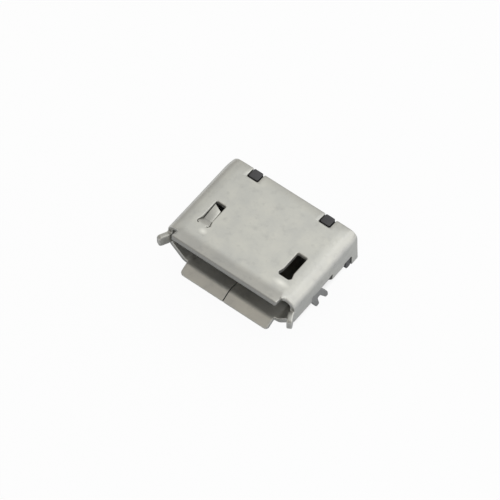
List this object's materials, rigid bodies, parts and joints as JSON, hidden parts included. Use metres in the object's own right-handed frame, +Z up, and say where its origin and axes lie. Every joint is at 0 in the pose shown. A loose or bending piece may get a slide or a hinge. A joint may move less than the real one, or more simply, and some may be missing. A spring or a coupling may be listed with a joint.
{
  "type": "micro usb socket",
  "caption": "Board-mounted micro USB socket: a folded metal shell with flared lips, latch windows and forked legs round a moulded housing with contacts.",
  "frame": {"origin": "on the board's top face, on the socket's centre line, midway between the two forked legs", "axes": "+X to the right as the mouth is faced, -Y out of the mouth towards the plug, +Z up from the board"},
  "size_m": [0.008, 0.0062, 0.0038],
  "materials": {
    "plated_sheet": "nickel plated, smooth satin",
    "moulding": "as moulded, fine matt",
    "contact_metal": "gold plated, smooth"
  },
  "bodies": {
    "root": {"shell": "plated_sheet", "housing": "moulding", "contact_1": "contact_metal", "contact_2": "contact_metal", "contact_3": "contact_metal", "contact_4": "contact_metal", "contact_5": "contact_metal"}
  },
  "joints": []
}
